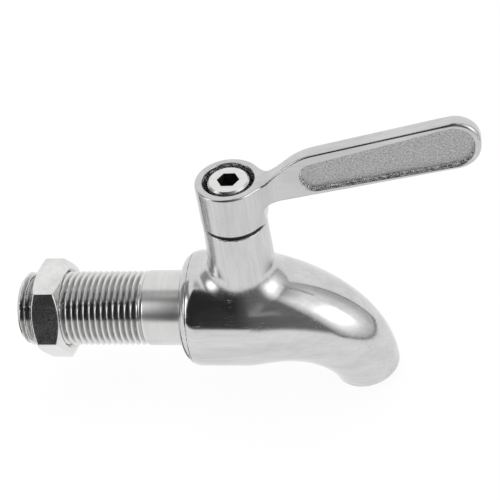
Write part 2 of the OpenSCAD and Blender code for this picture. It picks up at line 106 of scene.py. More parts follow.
def rounded_outline(corners: Sequence[tuple[float, float, float]], step: float = 3.0) -> np.ndarray:
    """Closed outline through corners, each rounded with an arc.

    Args:
        corners: Rows of two coordinates and a radius.
        step: Angle of one step of an arc, in degrees.

    Returns:
        Rows of two coordinates.
    """
    outline: list[np.ndarray] = []
    count = len(corners)
    for i, (x, y, radius) in enumerate(corners):
        at = np.array([x, y])
        if radius <= 0:
            outline.append(at)
            continue
        before = np.array(corners[i - 1][:2]) - at
        after = np.array(corners[(i + 1) % count][:2]) - at
        before /= np.linalg.norm(before)
        after /= np.linalg.norm(after)
        half = math.acos(float(np.clip(before @ after, -1, 1))) / 2
        bisector = before + after
        centre = at + bisector / np.linalg.norm(bisector) * radius / math.sin(half)
        first = at + before * radius / math.tan(half) - centre
        last = at + after * radius / math.tan(half) - centre
        way = 1.0 if first[0] * last[1] - first[1] * last[0] > 0 else -1.0
        turn = math.pi - 2 * half
        steps = max(2, math.ceil(math.degrees(turn) / step))
        for k in range(steps + 1):
            angle = way * turn * k / steps
            cosine, sine = math.cos(angle), math.sin(angle)
            outline.append(centre + np.array([first[0] * cosine - first[1] * sine,
                                              first[0] * sine + first[1] * cosine]))
    return np.array(outline)


def outline_distance(u: np.ndarray, v: np.ndarray, outline: np.ndarray) -> Distances:
    """Signed distance to a closed flat outline, negative inside.

    Args:
        u: First coordinate of each point.
        v: Second coordinate of each point.
        outline: Rows of two coordinates.

    Returns:
        The distance of each point.
    """
    best = np.full(len(u), 1e9)
    inside = np.zeros(len(u), bool)
    following = np.roll(outline, -1, axis=0)
    for (ax, ay), (bx, by) in zip(outline, following):
        ex, ey = bx - ax, by - ay
        length = ex * ex + ey * ey
        if length < 1e-12:
            continue
        share = np.clip(((u - ax) * ex + (v - ay) * ey) / length, 0, 1)
        best = np.minimum(best, (u - ax - share * ex) ** 2 + (v - ay - share * ey) ** 2)
        if ay != by:
            crosses = (ay > v) != (by > v)
            inside ^= crosses & (u < ex * (v - ay) / ey + ax)
    return np.where(inside, -1.0, 1.0) * np.sqrt(best)


@dataclass
class Sweep:
    """A round form swept along a flat line, with a ring square to the line at each station."""

    x: np.ndarray
    z: np.ndarray
    angle: np.ndarray
    radius: np.ndarray

    def distance(self, points: Points) -> Distances:
        """Distance to the swept skin, negative inside.

        Args:
            points: Rows of x, y and z in millimetres.

        Returns:
            The distance of each point.
        """
        x, y, z = points.T[:, :, None]
        away_x = x - self.x[None, :]
        away_z = z - self.z[None, :]
        ahead = away_x * np.cos(self.angle) - away_z * np.sin(self.angle)
        gap = ahead[:, :-1] - ahead[:, 1:]
        share = np.clip(ahead[:, :-1] / np.where(np.abs(gap) < 1e-9, 1e-9, gap), 0, 1)
        crossed = (ahead[:, :-1] >= 0) & (ahead[:, 1:] < 0)
        crossed[:, 0] |= ahead[:, 0] < 0
        crossed[:, -1] |= ahead[:, -1] >= 0
        centre_x = self.x[None, :-1] + share * (self.x[1:] - self.x[:-1])[None, :]
        centre_z = self.z[None, :-1] + share * (self.z[1:] - self.z[:-1])[None, :]
        radius = self.radius[None, :-1] + share * (self.radius[1:] - self.radius[:-1])[None, :]
        flat = (x - centre_x) ** 2 + (z - centre_z) ** 2
        reach = np.sqrt(flat + y ** 2) - radius
        return np.where(crossed, reach, 1e6).min(axis=1)


def in_batches(form: Field, points: Points, size: int = 6000) -> Distances:
    """Distances worked out a batch at a time, to spare memory.

    Args:
        form: The distance function.
        points: Rows of x, y and z.
        size: Points in one batch.

    Returns:
        The distance of each point.
    """
    return np.concatenate([form(points[i:i + size]) for i in range(0, len(points), size)])


def slope_of(form: Field, points: Points, step: float = 0.01) -> np.ndarray:
    """Direction in which the distance grows fastest, as the surface's outward normal.

    Args:
        form: The distance function.
        points: Rows of x, y and z.
        step: Half the span of each difference.

    Returns:
        A row of three slopes for each point.
    """
    slopes = np.zeros_like(points)
    for axis in range(3):
        shift = np.zeros(3)
        shift[axis] = step
        slopes[:, axis] = in_batches(form, points + shift) - in_batches(form, points - shift)
    return slopes / (2 * step)


def settle_on(form: Field, points: Points, rounds: int, cap: float) -> Points:
    """Moves points onto the surface of a form.

    Args:
        form: The distance function.
        points: Rows of x, y and z.
        rounds: Number of corrections.
        cap: Longest move in one correction.

    Returns:
        The moved points.
    """
    for _ in range(rounds):
        value = in_batches(form, points)
        slope = slope_of(form, points)
        steep = np.maximum((slope ** 2).sum(axis=1), 0.05)
        move = np.clip(value / steep, -cap, cap)
        points = points - slope * move[:, None]
    return points


def skin_piece(name: str, node: str, form: Field, voxel: float, rounds: int = 4) -> bpy.types.Object:
    """Fine skin in the place of a solid, with true normals.

    Args:
        name: Name of the new piece.
        node: Name of the solid whose space it takes.
        form: Distance to the wanted surface, in millimetres.
        voxel: Edge of the even mesh, in millimetres.
        rounds: Number of corrections of each point.

    Returns:
        The new piece.
    """
    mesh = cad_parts[node].data.copy()
    piece = bpy.data.objects.new(name, mesh)
    mesh.name = name
    bpy.context.scene.collection.objects.link(piece)
    even = piece.modifiers.new("even", "REMESH")
    even.mode = "VOXEL"
    even.voxel_size = voxel * MM
    shown = piece.evaluated_get(bpy.context.evaluated_depsgraph_get())
    fine = bpy.data.meshes.new_from_object(shown)
    piece.modifiers.clear()
    piece.data = fine
    fine.name = name
    places = np.zeros(len(fine.vertices) * 3)
    fine.vertices.foreach_get("co", places)
    places = settle_on(form, places.reshape(-1, 3) / MM, rounds, voxel)
    fine.vertices.foreach_set("co", (places * MM).ravel())
    fine.update()
    fine.polygons.foreach_set("use_smooth", np.ones(len(fine.polygons), bool))
    normals = slope_of(form, places)
    normals /= np.maximum(np.linalg.norm(normals, axis=1), 1e-9)[:, None]
    fine.normals_split_custom_set_from_vertices(normals.tolist())
    return piece


def closed_lathe(name: str, rings: Sequence[np.ndarray]) -> bpy.types.Object:
    """Closed skin through a loop of rings that ends where it starts.

    Args:
        name: Name of the new piece.
        rings: Rings with the same number of points, in millimetres.

    Returns:
        The new piece.
    """
    sides = len(rings[0])
    count = len(rings)
    points = np.concatenate(rings) * MM
    faces = []
    for j in range(count):
        j2 = (j + 1) % count
        for k in range(sides):
            k2 = (k + 1) % sides
            faces.append((j * sides + k, j * sides + k2, j2 * sides + k2, j2 * sides + k))
    mesh = bpy.data.meshes.new(name)
    mesh.from_pydata(points.tolist(), [], faces)
    mesh.update()
    mesh.polygons.foreach_set("use_smooth", np.ones(len(faces), bool))
    piece = bpy.data.objects.new(name, mesh)
    bpy.context.scene.collection.objects.link(piece)
    return piece


class Socket(Enum):
    """Kinds of sockets on a shader node group."""

    VALUE = "NodeSocketFloat"
    VECTOR = "NodeSocketVector"


class NodeSheet:
    """A short way to write a shader's nodes."""

    def __init__(self, tree: bpy.types.NodeTree) -> None:
        """Keeps the tree that the nodes go into."""
        self.tree = tree

    def add(self, kind: str, **values: object) -> bpy.types.Node:
        """Adds a node.

        Args:
            kind: The node's type.
            **values: Settings of the node.

        Returns:
            The new node.
        """
        node = self.tree.nodes.new(kind)
        for key, value in values.items():
            setattr(node, key, value)
        return node

    def link(self, out: bpy.types.NodeSocket, into: bpy.types.NodeSocket) -> None:
        """Joins two sockets."""
        self.tree.links.new(out, into)

    def math(self, operation: str, a: object, b: object) -> bpy.types.NodeSocket:
        """Adds a sum of two values.

        Args:
            operation: The name of the sum.
            a: A socket or a number.
            b: A socket or a number.

        Returns:
            The result's socket.
        """
        node = self.add("ShaderNodeMath", operation=operation)
        for index, value in enumerate((a, b)):
            if isinstance(value, bpy.types.NodeSocket):
                self.link(value, node.inputs[index])
            else:
                node.inputs[index].default_value = value
        return node.outputs[0]

    def spread(self, value: bpy.types.NodeSocket, low: float, high: float, to_low: float = 0.0,
               to_high: float = 1.0) -> bpy.types.NodeSocket:
        """Carries a value from one range to another, and stops at its ends.

        Args:
            value: The value's socket.
            low: Start of the first range.
            high: End of the first range.
            to_low: Start of the second range.
            to_high: End of the second range.

        Returns:
            The result's socket.
        """
        node = self.add("ShaderNodeMapRange")
        self.link(value, node.inputs["Value"])
        for key, number in (("From Min", low), ("From Max", high), ("To Min", to_low), ("To Max", to_high)):
            node.inputs[key].default_value = number
        return node.outputs["Result"]

    def blend(self, share: bpy.types.NodeSocket, a: bpy.types.NodeSocket,
              b: bpy.types.NodeSocket) -> bpy.types.NodeSocket:
        """Blends two values.

        Args:
            share: The share of the second value.
            a: The first value.
            b: The second value.

        Returns:
            The result's socket.
        """
        node = self.add("ShaderNodeMix", data_type="FLOAT")
        for value, key in ((share, "Factor"), (a, "A"), (b, "B")):
            self.link(value, node.inputs[key])
        return node.outputs["Result"]

    def colour(self, share: bpy.types.NodeSocket, a: object, b: Colour) -> bpy.types.NodeSocket:
        """Blends two colours.

        Args:
            share: The share of the second colour.
            a: The first colour, or a socket that gives it.
            b: The second colour.

        Returns:
            The result's socket.
        """
        node = self.add("ShaderNodeMix", data_type="RGBA")
        self.link(share, node.inputs["Factor"])
        if isinstance(a, bpy.types.NodeSocket):
            self.link(a, node.inputs["A"])
        else:
            node.inputs["A"].default_value = (*a, 1.0)
        node.inputs["B"].default_value = (*b, 1.0)
        return node.outputs["Result"]

    def blend_shaders(self, share: bpy.types.NodeSocket, a: bpy.types.Node,
                      b: bpy.types.Node) -> bpy.types.NodeSocket:
        """Blends two shaders.

        Args:
            share: The share of the second shader.
            a: The first shader.
            b: The second shader.

        Returns:
            The result's socket.
        """
        node = self.add("ShaderNodeMixShader")
        for index, out in enumerate((share, a.outputs[0], b.outputs[0])):
            self.link(out, node.inputs[index])
        return node.outputs[0]

    def length(self, a: bpy.types.NodeSocket, b: bpy.types.NodeSocket) -> bpy.types.NodeSocket:
        """Adds the length of two sides square to each other."""
        squares = self.math("ADD", self.math("MULTIPLY", a, a), self.math("MULTIPLY", b, b))
        return self.math("SQRT", squares, 0.0)

    def noise(self, where: bpy.types.NodeSocket, scale: object, detail: float,
              rough: float = 0.5) -> bpy.types.NodeSocket:
        """Adds a cloudy noise.

        Args:
            where: Coordinates of the noise.
            scale: Clouds in a metre, as a number or a socket.
            detail: Number of finer layers.
            rough: Share of the finer layers.

        Returns:
            The noise's value.
        """
        node = self.add("ShaderNodeTexNoise")
        self.link(where, node.inputs["Vector"])
        if isinstance(scale, bpy.types.NodeSocket):
            self.link(scale, node.inputs["Scale"])
        else:
            node.inputs["Scale"].default_value = scale
        node.inputs["Detail"].default_value = detail
        node.inputs["Roughness"].default_value = rough
        return node.outputs["Fac"]

    def place(self) -> bpy.types.NodeSocket:
        """Adds the place on the object, in the shared frame."""
        return self.add("ShaderNodeTexCoord").outputs["Object"]

    def axes(self) -> bpy.types.Node:
        """Adds the place on the object as its three coordinates."""
        node = self.add("ShaderNodeSeparateXYZ")
        self.link(self.place(), node.inputs[0])
        return node

    def bump(self, height: bpy.types.NodeSocket, strength: float, depth: float,
             shader: bpy.types.Node) -> None:
        """Gives a shader relief.

        Args:
            height: The relief's height.
            strength: Strength of the relief.
            depth: Its depth in millimetres.
            shader: The shader.
        """
        node = self.add("ShaderNodeBump")
        node.inputs["Strength"].default_value = strength
        node.inputs["Distance"].default_value = depth * MM
        self.link(height, node.inputs["Height"])
        self.link(node.outputs["Normal"], shader.inputs["Normal"])

    def seen_directly(self) -> bpy.types.NodeSocket:
        """Adds a mask of what the camera, a reflection or a clear piece shows."""
        rays = self.add("ShaderNodeLightPath")
        direct = self.math("MAXIMUM", rays.outputs["Is Camera Ray"], rays.outputs["Is Glossy Ray"])
        return self.math("MAXIMUM", direct, rays.outputs["Is Transmission Ray"])


def new_group(name: str, inputs: Sequence[tuple[str, Socket, object]],
              outputs: Sequence[str]) -> tuple[bpy.types.NodeTree, NodeSheet]:
    """Starts a shader node group with named sockets.

    Args:
        name: The group's name.
        inputs: Name, kind and starting value of each input.
        outputs: Name of each output, which is a value.

    Returns:
        The group and a sheet to write its nodes on.
    """
    group = bpy.data.node_groups.new(name, "ShaderNodeTree")
    for label, kind, start in inputs:
        made = group.interface.new_socket(name=label, in_out="INPUT", socket_type=kind.value)
        made.default_value = start
    for label in outputs:
        group.interface.new_socket(name=label, in_out="OUTPUT", socket_type=Socket.VALUE.value)
    return group, NodeSheet(group)


def new_material(name: str, metallic: float = 0.0) -> tuple[bpy.types.Material, NodeSheet, bpy.types.Node]:
    """Starts a material.

    Args:
        name: The material's name.
        metallic: 1 for metal, 0 for anything else.

    Returns:
        The material, a sheet to write its nodes on, and its shader.
    """
    material = bpy.data.materials.new(name)
    material.use_nodes = True
    shader = material.node_tree.nodes["Principled BSDF"]
    shader.inputs["Metallic"].default_value = metallic
    return material, NodeSheet(material.node_tree), shader


def tinted(colour: Colour, factor: float) -> Colour:
    """A colour made lighter or darker."""
    return tuple(min(1.0, value * factor) for value in colour)


def make_polish_marks() -> bpy.types.NodeTree:
    """Builds the fine scratches and haze of a polished metal surface.

    Returns:
        The node group, which puts out a haze, a scratch mask and a height.
    """
    group, sheet = new_group(
        "polish_marks", [("Scratch scale", Socket.VALUE, 900.0), ("Haze scale", Socket.VALUE, 120.0)],
        ("Haze", "Scratches", "Height"))
    given = sheet.add("NodeGroupInput")
    result = sheet.add("NodeGroupOutput")
    place = sheet.place()
    scale = sheet.math("MULTIPLY", given.outputs["Scratch scale"], 0.25)
    layers = []
    for tilt, stretch in ((0.35, 26.0), (-0.9, 18.0)):
        turned = sheet.add("ShaderNodeMapping")
        turned.inputs["Rotation"].default_value = (tilt, 0.4 * tilt, 0.2 + tilt)
        turned.inputs["Scale"].default_value = (1.0, stretch, stretch * 0.8)
        sheet.link(place, turned.inputs["Vector"])
        layers.append(sheet.spread(sheet.noise(turned.outputs["Vector"], scale, 2.0), 0.62, 0.74))
    both = sheet.math("MAXIMUM", layers[0], layers[1])
    broken = sheet.spread(sheet.noise(place, 160.0, 2.0), 0.45, 0.6)
    scratches = sheet.math("MULTIPLY", both, broken)
    haze = sheet.noise(place, given.outputs["Haze scale"], 5.0)
    sheet.link(haze, result.inputs["Haze"])
    sheet.link(scratches, result.inputs["Scratches"])
    sheet.link(sheet.math("SUBTRACT", haze, scratches), result.inputs["Height"])
    return group


def make_blasted_grain() -> bpy.types.NodeTree:
    """Builds the pitted grain of a sandblasted metal floor.

    Returns:
        The node group, which puts out a shade and a height.
    """
    group, sheet = new_group("blasted_grain", [("Grain scale", Socket.VALUE, 2600.0)], ("Shade", "Height"))
    given = sheet.add("NodeGroupInput")
    result = sheet.add("NodeGroupOutput")
    place = sheet.place()
    grain = sheet.noise(place, given.outputs["Grain scale"], 3.0, 0.7)
    pits = sheet.add("ShaderNodeTexVoronoi")
    sheet.link(place, pits.inputs["Vector"])
    sheet.link(sheet.math("MULTIPLY", given.outputs["Grain scale"], 0.6), pits.inputs["Scale"])
    height = sheet.math("ADD", grain, sheet.math("MULTIPLY", pits.outputs["Distance"], 0.8))
    sheet.link(sheet.spread(grain, 0.3, 0.7), result.inputs["Shade"])
    sheet.link(height, result.inputs["Height"])
    return group


def make_brushed_streaks() -> bpy.types.NodeTree:
    """Builds the soft streaks that a polishing wheel leaves.

    Returns:
        The node group, which puts out broad and fine streaks.
    """
    group, sheet = new_group(
        "brushed_streaks",
        [("Stretch", Socket.VECTOR, (1.0, 1.0, 1.0)), ("Broad scale", Socket.VALUE, 260.0),
         ("Fine scale", Socket.VALUE, 1500.0)],
        ("Broad", "Fine"))
    given = sheet.add("NodeGroupInput")
    result = sheet.add("NodeGroupOutput")
    stretched = sheet.add("ShaderNodeVectorMath", operation="MULTIPLY")
    sheet.link(sheet.place(), stretched.inputs[0])
    sheet.link(given.outputs["Stretch"], stretched.inputs[1])
    for label in ("Broad", "Fine"):
        cloud = sheet.noise(stretched.outputs["Vector"], given.outputs[label + " scale"], 4.0, 0.6)
        sheet.link(sheet.spread(cloud, 0.3, 0.7), result.inputs[label])
    return group


@dataclass(frozen=True)
class SteelFinish:
    """Polished or satin stainless steel, with the wheel's streaks and fine scratches."""

    name: str
    colour: Colour = (0.6, 0.6, 0.598)
    shade: float = 0.12
    rough: float = 0.08
    rough_spread: float = 0.05
    satin_rough: float = 0.08
    satin_from: float = 7.0
    satin_to: float = 11.5
    satin_near: float = 9.0
    satin_far: float = 12.0
    # The valley settings paint shade into the colour, darker towards the thread's valley root.
    valley_r: float = 0.0
    valley_rise: float = 0.7
    valley_painted_shade: float = 0.45
    stretch: tuple[float, float, float] = (0.12, 1.0, 1.0)
    satin_stretch: tuple[float, float, float] = (1.0, 1.0, 0.1)
    broad_share: float = 0.45
    fine_share: float = 0.3
    haze_share: float = 0.3
    scratch: float = 0.25
    bump: float = 0.05
    bump_depth: float = 0.02
    lathe_marks: float = 0.0

    def satin_zone(self, sheet: NodeSheet, axes: bpy.types.Node) -> bpy.types.NodeSocket:
        """Mask of the tower, which is less polished than the barrel.

        Args:
            sheet: The material's sheet.
            axes: The place on the object.

        Returns:
            The mask's socket.
        """
        out = sheet.math("SUBTRACT", axes.outputs["X"], tower_axis() * MM)
        away = sheet.length(out, axes.outputs["Y"])
        high = sheet.spread(axes.outputs["Z"], self.satin_from * MM, self.satin_to * MM)
        near = sheet.spread(away, self.satin_near * MM, self.satin_far * MM, 1.0, 0.0)
        return sheet.math("MULTIPLY", high, near)

    def build(self, marks: bpy.types.NodeTree, streaks: bpy.types.NodeTree) -> bpy.types.Material:
        """Builds the material.

        Args:
            marks: The group of polishing marks.
            streaks: The group of brushed streaks.

        Returns:
            The material.
        """
        material, sheet, shader = new_material(self.name, 1.0)
        worn = sheet.add("ShaderNodeGroup", node_tree=marks)
        axes = sheet.axes()
        satin = self.satin_zone(sheet, axes)
        lines = []
        for stretch in (self.stretch, self.satin_stretch):
            brushed = sheet.add("ShaderNodeGroup", node_tree=streaks)
            brushed.inputs["Stretch"].default_value = stretch
            lines.append(brushed)
        broad, fine = (sheet.blend(satin, lines[0].outputs[label], lines[1].outputs[label])
                       for label in ("Broad", "Fine"))
        tone = sheet.math("ADD", sheet.math("MULTIPLY", broad, self.broad_share),
                          sheet.math("MULTIPLY", fine, self.fine_share))
        tone = sheet.math("ADD", tone, sheet.math("MULTIPLY", worn.outputs["Haze"], self.haze_share))
        dark, light = (tinted(self.colour, 1 + side * self.shade) for side in (-1, 1))
        coloured = sheet.colour(tone, dark, light)
        # Painted shade: the colour darkens from the crest radius down into the thread's valleys.
        if self.valley_r > 0:
            radius = sheet.length(axes.outputs["Y"], axes.outputs["Z"])
            low, high = (self.valley_r - self.valley_rise) * MM, self.valley_r * MM
            depth = sheet.spread(radius, low, high, 1.0, 0.0)
            coloured = sheet.colour(depth, coloured, tinted(self.colour, self.valley_painted_shade))
        sheet.link(coloured, shader.inputs["Base Color"])
        rough = sheet.spread(satin, 0.0, 1.0, self.rough, self.satin_rough)
        rough = sheet.math("ADD", rough, sheet.math("MULTIPLY", tone, self.rough_spread))
        dull = sheet.math("MULTIPLY", worn.outputs["Scratches"], self.scratch)
        sheet.link(sheet.math("ADD", rough, dull), shader.inputs["Roughness"])
        sheet.bump(sheet.math("ADD", worn.outputs["Height"], fine), self.bump, self.bump_depth, shader)
        if self.lathe_marks > 0:
            shader.inputs["Anisotropic"].default_value = self.lathe_marks
            shader.inputs["Anisotropic Rotation"].default_value = QUARTER_TURN
            round_shank = sheet.add("ShaderNodeTangent", direction_type="RADIAL", axis="X")
            sheet.link(round_shank.outputs["Tangent"], shader.inputs["Tangent"])
        return material


@dataclass(frozen=True)
class ScrewFinish:
    """Steel of the handle's screw, with painted shade in its hexagon socket."""

    name: str = "screw_steel"
    colour: Colour = (0.74, 0.74, 0.735)
    low_tint: float = 0.85
    high_tint: float = 1.12
    # Near-black colour of the painted shade in the hexagon socket.
    socket_shade_colour: Colour = (0.12, 0.12, 0.12)
    socket_r: float = 2.35
    socket_edge: float = 1.02
    socket_depths: tuple[float, float] = (0.3, 0.08)
    socket_rough: float = 0.2
    haze_scale: float = 700.0
    rough: float = 0.2
    rough_spread: float = 0.14
    bump: float = 0.15
    bump_depth: float = 0.02

    def socket_shade_zone(self, sheet: NodeSheet) -> bpy.types.NodeSocket:
        """Mask of the hexagon socket, where shade is painted into the colour.

        Args:
            sheet: The material's sheet.

        Returns:
            The mask's socket.
        """
        low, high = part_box("handle_screw")
        axes = sheet.axes()
        out = sheet.math("SUBTRACT", axes.outputs["X"], (low.x + high.x) / 2)
        away = sheet.length(out, axes.outputs["Y"])
        near = sheet.spread(away, self.socket_r * MM, self.socket_r * MM * self.socket_edge, 1.0, 0.0)
        deep, shallow = (high.z - depth * MM for depth in self.socket_depths)
        return sheet.math("MULTIPLY", near, sheet.spread(axes.outputs["Z"], deep, shallow, 1.0, 0.0))

    def build(self, marks: bpy.types.NodeTree, grain: bpy.types.NodeTree) -> bpy.types.Material:
        """Builds the material.

        Args:
            marks: The group of polishing marks.
            grain: The group of blasted grain.

        Returns:
            The material.
        """
        material, sheet, shader = new_material(self.name, 1.0)
        socket = self.socket_shade_zone(sheet)
        worn = sheet.add("ShaderNodeGroup", node_tree=marks)
        worn.inputs["Haze scale"].default_value = self.haze_scale
        pitted = sheet.add("ShaderNodeGroup", node_tree=grain)
        haze = worn.outputs["Haze"]
        head = sheet.colour(haze, tinted(self.colour, self.low_tint), tinted(self.colour, self.high_tint))
        # Painted shade: the colour inside the hexagon socket is darkened to near black.
        sheet.link(sheet.colour(socket, head, self.socket_shade_colour), shader.inputs["Base Color"])
        rough = sheet.spread(haze, 0.3, 0.7, self.rough, self.rough + self.rough_spread)
        dull = sheet.math("MULTIPLY", socket, self.socket_rough)
        sheet.link(sheet.math("ADD", rough, dull), shader.inputs["Roughness"])
        sheet.bump(pitted.outputs["Height"], self.bump, self.bump_depth, shader)
        return material


@dataclass(frozen=True)
class BlastedFinish:
    """Sandblasted steel on the sunken field of the lever."""

    name: str = "blasted_steel"
    dark: Colour = (0.26, 0.26, 0.26)
    light: Colour = (0.62, 0.62, 0.62)
    rough: float = 0.36
    rough_spread: float = 0.12
    bump: float = 0.8
    bump_depth: float = 0.08
    scale: float = 3000.0

    def build(self, grain: bpy.types.NodeTree) -> bpy.types.Material:
        """Builds the material.

        Args:
            grain: The group of blasted grain.

        Returns:
            The material.
        """
        material, sheet, shader = new_material(self.name, 1.0)
        pitted = sheet.add("ShaderNodeGroup", node_tree=grain)
        pitted.inputs["Grain scale"].default_value = self.scale
        shade = pitted.outputs["Shade"]
        sheet.link(sheet.colour(shade, self.dark, self.light), shader.inputs["Base Color"])
        rough = sheet.spread(shade, 0.0, 1.0, self.rough + self.rough_spread, self.rough)
        sheet.link(rough, shader.inputs["Roughness"])
        sheet.bump(pitted.outputs["Height"], self.bump, self.bump_depth, shader)
        return material


@dataclass(frozen=True)
class SoftFinish:
    """Rubber or polymer of a ring or a seat."""

    name: str
    colour: Colour
    rough: float
    low_tint: float = 0.8
    high_tint: float = 1.15

    def build(self, marks: bpy.types.NodeTree) -> bpy.types.Material:
        """Builds the material.

        Args:
            marks: The group of polishing marks.

        Returns:
            The material.
        """
        material, sheet, shader = new_material(self.name)
        haze = sheet.add("ShaderNodeGroup", node_tree=marks).outputs["Haze"]
        shade = sheet.colour(haze, tinted(self.colour, self.low_tint), tinted(self.colour, self.high_tint))
        sheet.link(shade, shader.inputs["Base Color"])
        rough = sheet.spread(haze, 0.3, 0.7, self.rough - 0.05, self.rough + 0.08)
        sheet.link(rough, shader.inputs["Roughness"])
        return material


@dataclass
class Finishes:
    """All materials of the spigot."""

    marks: bpy.types.NodeTree = field(default_factory=make_polish_marks)
    streaks: bpy.types.NodeTree = field(default_factory=make_brushed_streaks)
    grain: bpy.types.NodeTree = field(default_factory=make_blasted_grain)

    def steel(self, name: str, **values: object) -> bpy.types.Material:
        """Builds one steel from its differences from the plain polished one."""
        return SteelFinish(name, **values).build(self.marks, self.streaks)

    def soft(self, name: str, grey: float, rough: float) -> bpy.types.Material:
        """Builds one rubber or polymer."""
        return SoftFinish(name, (grey, grey, grey), rough).build(self.marks)

    def __post_init__(self) -> None:
        """Builds the materials once."""
        lathe = (1.0, 0.1, 0.1)
        self.cast = self.steel("cast_steel", shade=0.2, rough=0.07, rough_spread=0.08, satin_rough=0.18)
        self.turned = self.steel("turned_steel", colour=(0.74, 0.74, 0.735), rough=0.31, rough_spread=0.04,
                                 satin_rough=0.31, stretch=lathe, scratch=0.05, lathe_marks=1.0)
        # The thread steel has painted shade in its valleys.
        self.thread = self.steel("thread_steel", colour=(0.72, 0.72, 0.715), rough=0.14, rough_spread=0.05,
                                 stretch=lathe, scratch=0.05, valley_r=8.1)
        self.nut = self.steel("nut_steel", colour=(0.71, 0.71, 0.705), shade=0.2, rough=0.16,
                              rough_spread=0.1, scratch=0.03, stretch=(0.7, 0.7, 0.7))
        self.screw = ScrewFinish().build(self.marks, self.grain)
        self.spring = self.steel("spring_steel", colour=(0.4, 0.4, 0.41), rough=0.3, satin_rough=0.3)
        self.lever = self.steel("lever_steel", colour=(0.57, 0.57, 0.568), shade=0.2, rough=0.17,
                                rough_spread=0.1, satin_rough=0.17, scratch=0.2)
        self.blasted = BlastedFinish().build(self.grain)
        self.wall = BlastedFinish("blasted_wall", dark=(0.3, 0.3, 0.3), light=(1.0, 1.0, 1.0), rough=0.2,
                                  bump=1.0, bump_depth=0.5, scale=1900.0).build(self.grain)
        self.rubber = self.soft("seal_rubber", 0.03, 0.6)
        # The near-black gap ring under the hub gives the dark band between the hub and the neck.
        self.gap_ring = self.soft("gap_ring", 0.02, 0.45)
        self.seat = SoftFinish("seat_polymer", (0.9, 0.9, 0.88), 0.4).build(self.marks)


def dress(piece: bpy.types.Object, *materials: bpy.types.Material) -> None:
    """Gives a piece its materials.

    Args:
        piece: The piece.
        *materials: The materials in the order of their slots.
    """
    piece.data.materials.clear()
    for material in materials:
        piece.data.materials.append(material)


def face_centres(piece: bpy.types.Object) -> Points:
    """Middle of each face of a piece, in millimetres."""
    centres = np.zeros(len(piece.data.polygons) * 3)
    piece.data.polygons.foreach_get("center", centres)
    return centres.reshape(-1, 3) / MM


def tower_axis() -> float:
    """Place of the tower's axis along the shank, in millimetres, read from the stem's box."""
    low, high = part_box("stem")
    return (low.x + high.x) / 2 / MM


